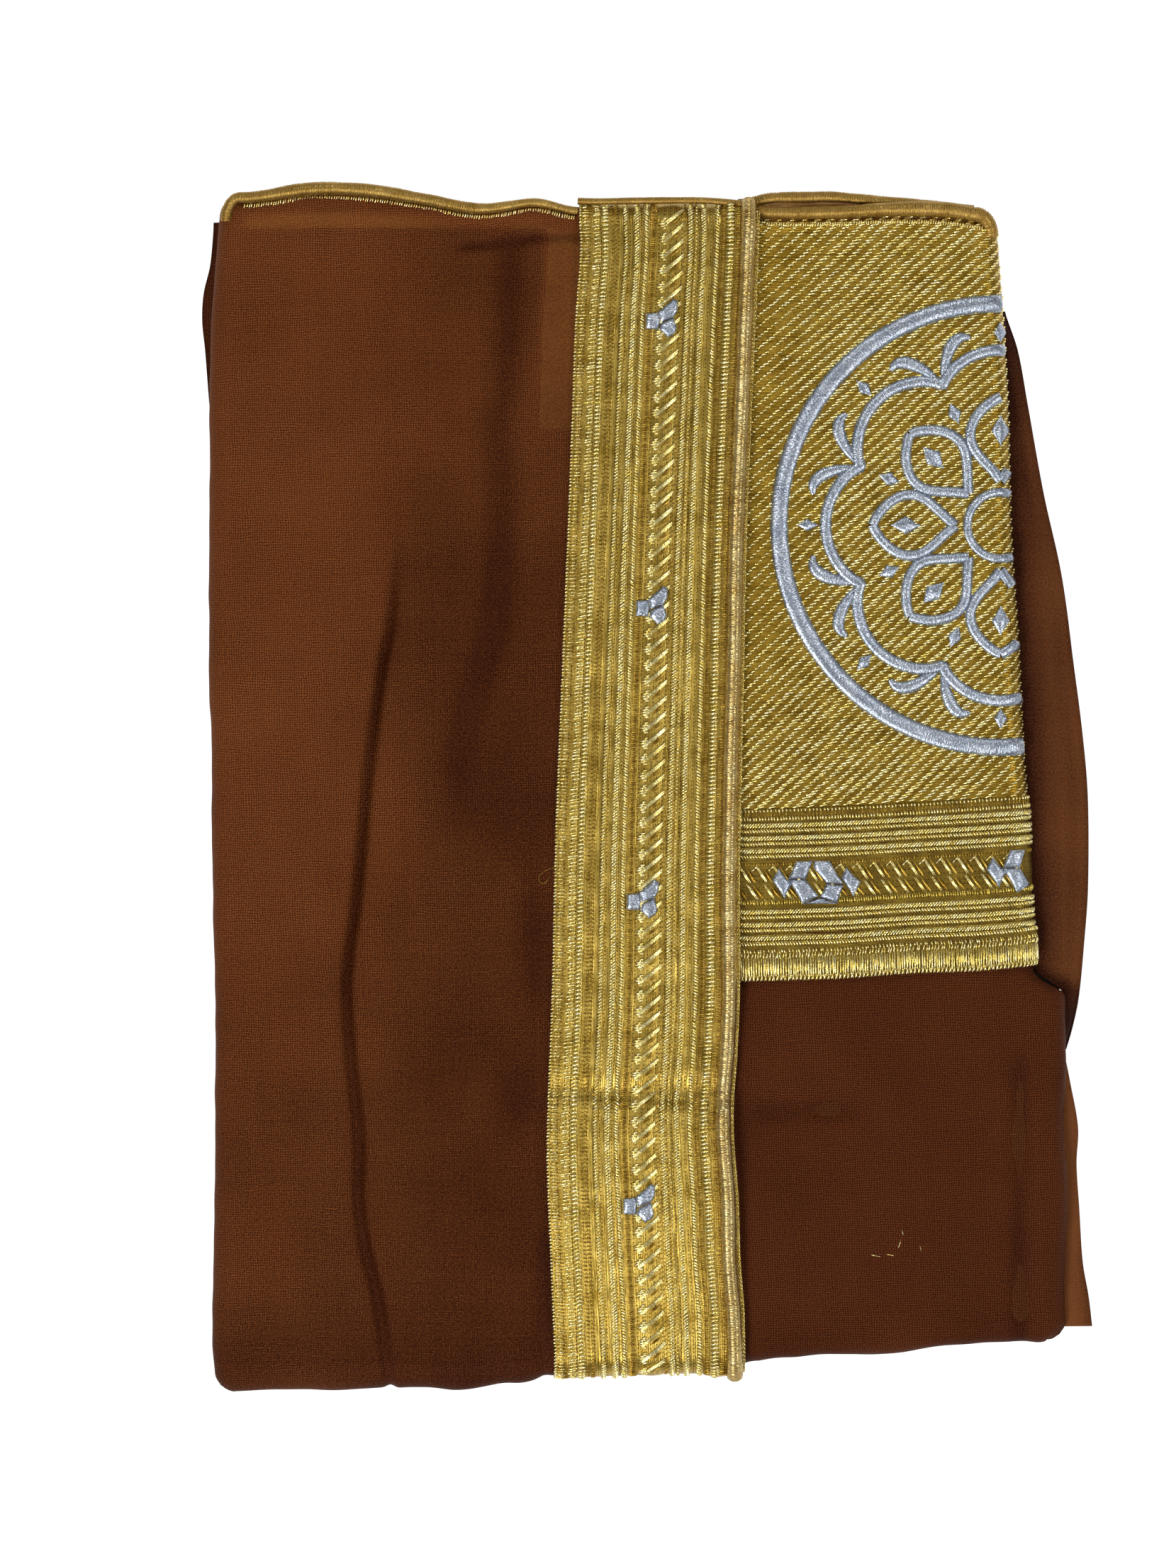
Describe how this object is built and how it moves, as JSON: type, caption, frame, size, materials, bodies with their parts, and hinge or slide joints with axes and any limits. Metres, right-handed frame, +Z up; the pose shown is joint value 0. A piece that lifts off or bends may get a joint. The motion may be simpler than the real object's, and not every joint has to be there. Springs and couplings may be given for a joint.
{
  "type": "folded bisht cloak",
  "caption": "Cloak of sheer woven cloth folded into a flat pack, with a ribbed metallic placket band, an embroidered yoke panel with a round medallion, and satin shoulder cords.",
  "frame": {"origin": "under the middle of the folded pack, on the surface that it lies on", "axes": "+X to the right and +Y towards the shoulder line as the pack is seen from above, +Z up"},
  "size_m": [0.2956, 0.3989, 0.0281],
  "materials": {
    "brown_voile": "sheer matte weave",
    "dark_voile": "sheer matte weave, several layers",
    "zari_gold": "metallic thread embroidery",
    "zari_silver": "metallic satin stitch"
  },
  "bodies": {
    "root": {"folded_layers": "dark_voile", "front_panel": "brown_voile", "right_panel": "dark_voile", "left_under_layer": "dark_voile", "side_fold": "brown_voile", "under_fold": "dark_voile", "placket_band": "zari_gold", "placket_cord": "zari_gold", "yoke_panel": "zari_gold", "yoke_border": "zari_gold", "medallion_ring": "zari_silver", "medallion_rosette": "zari_silver", "shoulder_cord_left": "zari_gold", "shoulder_cord_band": "zari_gold", "shoulder_cord_right": "zari_gold", "shoulder_cord_back": "zari_gold"}
  },
  "joints": []
}
